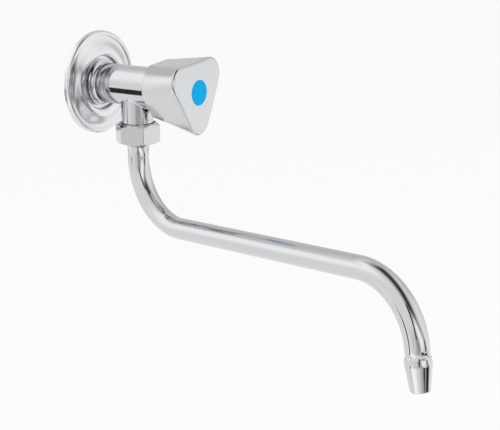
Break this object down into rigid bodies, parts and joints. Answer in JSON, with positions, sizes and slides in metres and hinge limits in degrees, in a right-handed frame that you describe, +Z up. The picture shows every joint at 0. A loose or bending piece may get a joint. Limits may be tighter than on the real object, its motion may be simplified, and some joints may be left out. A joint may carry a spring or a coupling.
{
  "type": "wall tap",
  "caption": "Chromed single wall tap with a round rosette, a three-cornered screw-down handle and a swivelling S-shaped tube spout that ends in a tapered nozzle.",
  "frame": {"origin": "the point where the tap's axis meets the face of the wall, on the axis of the inlet thread", "axes": "+Y into the wall along the inlet and valve axis, +Z up along the spout's swivel axis, +X to the right of someone who faces the wall"},
  "size_m": [0.119, 0.3275, 0.193],
  "materials": {
    "chrome": "bright chrome plate on brass",
    "cold_blue": "moulded blue plastic",
    "brass": "machined, unplated",
    "fibre": "pressed fibre sheet",
    "rubber": "black nitrile rubber",
    "pale_plastic": "natural acetal",
    "steel": "stainless"
  },
  "bodies": {
    "tap": {"tap_body": "chrome", "wall_rosette": "chrome", "union_nut": "chrome", "upper_slide_ring": "pale_plastic", "lower_slide_ring": "pale_plastic", "headwork_housing": "brass", "headwork_gasket": "fibre"},
    "handle": {"handle": "chrome", "index_cap": "cold_blue", "handle_screw": "steel", "spline_insert": "pale_plastic", "spindle": "brass", "spindle_o_rings": "rubber", "thrust_washer": "pale_plastic", "spindle_circlip": "steel"},
    "piston": {"valve_piston": "brass", "piston_o_ring": "rubber", "seat_washer": "rubber", "washer_nut": "brass"},
    "spout": {"spout_tube": "chrome", "spout_spigot": "brass", "spout_o_rings": "rubber", "outlet_nozzle": "chrome"}
  },
  "joints": [
    {"name": "handle_turn", "type": "hinge", "parent": "tap", "child": "handle", "pos_m": [0, -0.07, 0], "axis": [0, -1, 0], "range_deg": [0, 720]},
    {"name": "piston_lift", "type": "slide", "parent": "tap", "child": "piston", "axis": [0, -1, 0], "range_m": [0, 0.00501]},
    {"name": "spout_swivel", "type": "hinge", "parent": "tap", "child": "spout", "pos_m": [0, -0.037, -0.0375], "axis": [0, 0, 1], "range_deg": [-80, 110]}
  ],
  "couplings": [
    {"joint": "piston_lift", "follows": "handle_turn", "m_per_rad": 0.00039789}
  ]
}
